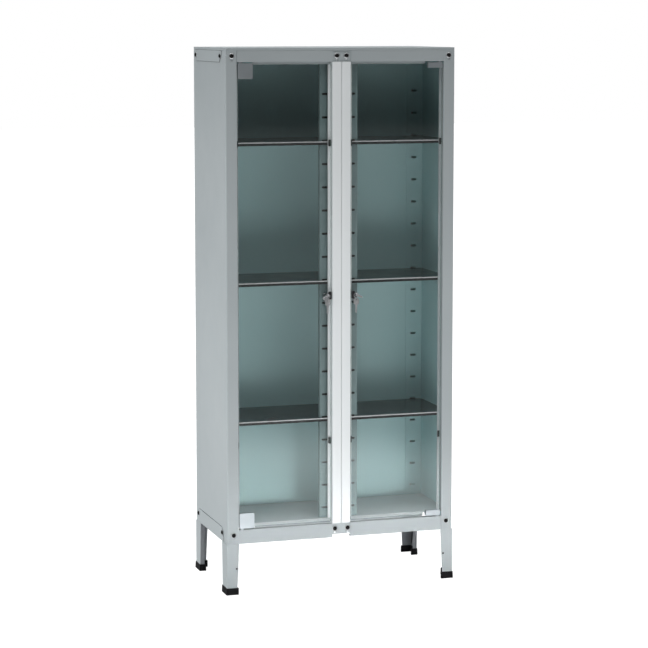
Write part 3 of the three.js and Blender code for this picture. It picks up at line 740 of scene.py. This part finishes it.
def plateShape(shape, outline, centre, thickness, hole=None):
    # outline and hole are rings of (x, z) with the same number of points
    def ring(points, depth):
        return [shape.verts.new(centre + Vector((x, depth, z))) for x, z in points]

    half = thickness / 2
    front, back = ring(outline, -half), ring(outline, half)
    band(shape, back, front)
    if hole:
        frontHole, backHole = ring(hole, -half), ring(hole, half)
        band(shape, frontHole, backHole)
        band(shape, front, frontHole)
        band(shape, backHole, back)
    else:
        shape.faces.new(front)
        shape.faces.new(back[::-1])


def bowOutline():
    points = []
    for angle in circle(keySizes["bowSteps"]):
        x, z = [
            math.copysign(abs(part) ** keySizes["squareness"], part) / 2
            for part in (math.cos(angle), math.sin(angle))
        ]
        narrow = 1.0 - keySizes["taper"] * z
        points.append((x * keySizes["bowWidth"] * narrow, z * keySizes["bowHeight"]))
    return points


def bladeOutline():
    half, length = keySizes["bladeWidth"] / 2, keySizes["bladeLength"]
    rim = [
        (-1.0, 0.0), *bladeShape["tip"], *bladeShape["cuts"], bladeShape["shoulder"], (1.0, 0.0),
    ]
    return [(across * half, -along * length) for across, along in rim]


def hangingKey(side):
    sign = -1 if side == "left" else 1
    low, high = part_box(side + "_lock_body")
    neck = Vector((sign * keySizes["hubFromCentre"], low.y - keySizes["neckDepth"], 0.0))
    across, up = Vector((1, 0, 0)), Vector((0, 0, 1))
    outward = Vector((0, keySizes["linkWidth"], 0))
    ringRadius, ringWire = keySizes["ringRadius"], keySizes["ringWire"]
    linkRadius, linkWire = keySizes["linkRadius"], keySizes["linkWire"]
    holeRadius, bowHeight = keySizes["hole"], keySizes["bowHeight"]

    hubTop = (low.z + high.z) / 2 + keySizes["hubRadius"]
    ringZ = hubTop + ringWire * keySizes["ringLift"] - ringRadius
    linkZ = ringZ - ringRadius - linkRadius + ringWire + linkWire
    holeZ = linkZ - linkRadius - holeRadius + linkWire * keySizes["linkOverlap"]
    bowZ = holeZ - bowHeight / 2 + holeRadius + keySizes["holeRim"]
    bladeZ = bowZ - bowHeight / 2 + keySizes["bladeOverlap"]

    shape = bmesh.new()
    wireRing(shape, "ring", neck + up * ringZ, across, up)
    wireRing(shape, "link", neck + up * linkZ, outward, up)
    hole = [
        (holeRadius * math.cos(angle), holeRadius * math.sin(angle) + holeZ - bowZ)
        for angle in circle(keySizes["bowSteps"])
    ]
    plateShape(shape, bowOutline(), neck + up * bowZ, keySizes["bowThickness"], hole)
    plateShape(shape, bladeOutline(), neck + up * bladeZ, keySizes["bladeThickness"])
    bmesh.ops.recalc_face_normals(shape, faces=shape.faces)
    smoothShade(shape, foldAngles["roundSmooth"])
    addPiece(side + "_hanging_key", shape, [keyFinish], side + "_door")


for side in sides:
    hangingKey(side)
print("keys made")


# a closing plate makes the slotted standard a box that shuts out the light behind its slots, and
# its black finish paints the shade inside

standardBack = {
    "thickness": 0.001, "sideGap": 0.0021, "endGap": 0.004, "corner": 0.002, "cornerSteps": 4,
}


def shadeClosingPlate():
    low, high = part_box("centre_standard")
    corner, steps = standardBack["corner"], standardBack["cornerSteps"]
    half = high.x - standardBack["sideGap"] - corner
    bottom = low.z + standardBack["endGap"] + corner
    top = high.z - standardBack["endGap"] - corner
    outline = []
    for turn, (x, z) in enumerate(((half, top), (-half, top), (-half, bottom), (half, bottom))):
        for step in range(steps + 1):
            angle = math.radians(90.0 * (turn + step / steps))
            outline.append((x + corner * math.cos(angle), z + corner * math.sin(angle)))
    shape = bmesh.new()
    centre = Vector((0.0, high.y - standardBack["thickness"], 0.0))
    plateShape(shape, outline, centre, standardBack["thickness"])
    bmesh.ops.recalc_face_normals(shape, faces=shape.faces)
    smoothShade(shape)
    # black: painted shade inside the standard's box
    materials = [finishes["lock_zinc"]]
    addPiece("standard_shade_plate", shape, materials, "cabinet_body")


shadeClosingPlate()
print("closing plate made")


# studio: a white floor that throws light up, a dim room and soft boxes

studio = {
    "floorSize": 60.0, "floorTone": 0.15, "floorRoughness": 0.9, "floorGlow": 0.06,
    "poolGlow": 1.8, "poolPlace": (0.1, -1.65), "poolCore": 0.6, "poolRadius": 1.6,
    "roomLight": 0.04, "zenithLight": 2.8, "zenithStart": 0.42,
}
softBoxes = {
    "leftBox": {
        "place": (-2.8, 0.0, 0.25), "aim": (-0.4, 0.0, 0.25), "size": (1.8, 1.0),
        "power": 68.0, "spread": 180.0,
    },
    "frontBox": {
        "place": (0.1, -1.3, 0.22), "aim": (0.0, 0.0, 0.24), "size": (1.8, 0.4),
        "power": 3.2, "spread": 180.0,
    },
    "lowBeam": {
        "place": (0.1, -2.7, 0.11), "aim": (0.0, 0.0, 0.11), "size": (1.8, 0.20),
        "power": 0.95, "spread": 16.0,
    },
    "rightBox": {
        "place": (3.6, 0.9, 1.3), "aim": (0.4, 0.1, 0.85), "size": (1.6, 1.6),
        "power": 30.0, "spread": 150.0,
    },
    "rearBox": {
        "place": (0.6, 3.8, 1.5), "aim": (0.0, 0.2, 0.85), "size": (2.2, 1.6),
        "power": 36.0, "spread": 150.0,
    },
}
white = (1.0, 1.0, 1.0, 1.0)


def floorFinish():
    finish = bpy.data.materials.new("studioFloor")
    finish.use_nodes = True
    nodes = finish.node_tree.nodes
    shader = nodes["Principled BSDF"]
    shader.inputs["Base Color"].default_value = (*[studio["floorTone"]] * 3, 1.0)
    shader.inputs["Roughness"].default_value = studio["floorRoughness"]
    distance = nodes.new("ShaderNodeVectorMath")
    distance.operation = "DISTANCE"
    distance.inputs[1].default_value = (*studio["poolPlace"], 0.0)
    wire(finish, nodes.new("ShaderNodeTexCoord").outputs["Object"], distance.inputs[0])
    poolBand = (studio["poolCore"], studio["poolRadius"])
    glowBand = (studio["floorGlow"] + studio["poolGlow"], studio["floorGlow"])
    fall = mapRange(nodes, poolBand, glowBand, "SMOOTHSTEP")
    wire(finish, distance.outputs["Value"], fall.inputs["Value"])
    seen = nodes.new("ShaderNodeMath")  # the camera sees the floor plain white
    seen.operation = "MAXIMUM"
    wire(finish, nodes.new("ShaderNodeLightPath").outputs["Is Camera Ray"], seen.inputs[0])
    wire(finish, fall.outputs["Result"], seen.inputs[1])
    shader.inputs["Emission Color"].default_value = white
    wire(finish, seen.outputs["Value"], shader.inputs["Emission Strength"])
    return finish


def whiteFloor():
    shape = bmesh.new()
    bmesh.ops.create_grid(shape, x_segments=2, y_segments=2, size=studio["floorSize"] / 2)
    mesh = bpy.data.meshes.new("studioFloor")
    shape.to_mesh(mesh)
    shape.free()
    mesh.materials.append(floorFinish())
    floor = bpy.data.objects.new("studioFloor", mesh)
    bpy.context.scene.collection.objects.link(floor)


def dimRoom():
    world = bpy.data.worlds.new("studioRoom")
    bpy.context.scene.world = world
    world.use_nodes = True
    nodes = world.node_tree.nodes
    links = world.node_tree.links
    nodes.clear()
    height = nodes.new("ShaderNodeSeparateXYZ")
    links.new(nodes.new("ShaderNodeTexCoord").outputs["Generated"], height.inputs["Vector"])
    lightBand = (studio["roomLight"], studio["zenithLight"])
    rise = mapRange(nodes, (studio["zenithStart"], 1.0), lightBand, "SMOOTHSTEP")
    links.new(height.outputs["Z"], rise.inputs["Value"])
    room = nodes.new("ShaderNodeBackground")
    room.inputs["Color"].default_value = white
    links.new(rise.outputs["Result"], room.inputs["Strength"])
    backdrop = nodes.new("ShaderNodeBackground")  # plain white, for the camera only
    backdrop.inputs["Color"].default_value = white
    mix = nodes.new("ShaderNodeMixShader")
    links.new(nodes.new("ShaderNodeLightPath").outputs["Is Camera Ray"], mix.inputs["Fac"])
    links.new(room.outputs["Background"], mix.inputs[1])
    links.new(backdrop.outputs["Background"], mix.inputs[2])
    links.new(mix.outputs["Shader"], nodes.new("ShaderNodeOutputWorld").inputs["Surface"])


def softBox(name, look):
    lamp = bpy.data.lights.new(name, "AREA")
    lamp.shape = "RECTANGLE"
    lamp.size, lamp.size_y = look["size"]
    lamp.energy = look["power"]
    lamp.spread = math.radians(look["spread"])
    box = bpy.data.objects.new(name, lamp)
    box.location = look["place"]
    sight = Vector(look["aim"]) - Vector(look["place"])
    box.rotation_euler = sight.to_track_quat("-Z", "Y").to_euler()
    box.visible_camera = False
    box.visible_glossy = False
    bpy.context.scene.collection.objects.link(box)


whiteFloor()
dimRoom()
for boxName, look in softBoxes.items():
    softBox(boxName, look)
bpy.context.scene.view_settings.view_transform = "Standard"
print("studio made")


# camera at the photograph's place

cameraView = {
    "place": (-2.1753, -6.8187, 1.7810), "tilt": 83.31, "turn": -17.71,
    "lens": 125.00, "sensor": 36.0, "shiftY": -0.06,
}
lens = bpy.data.cameras.new("photoCamera")
lens.lens = cameraView["lens"]
lens.sensor_width = cameraView["sensor"]
lens.shift_y = cameraView["shiftY"]
lens.dof.use_dof = False
camera = bpy.data.objects.new("photoCamera", lens)
camera.location = cameraView["place"]
camera.rotation_euler = (math.radians(cameraView["tilt"]), 0.0, math.radians(cameraView["turn"]))
bpy.context.scene.collection.objects.link(camera)
bpy.context.scene.camera = camera
print("camera set")

bpy.context.view_layer.update()
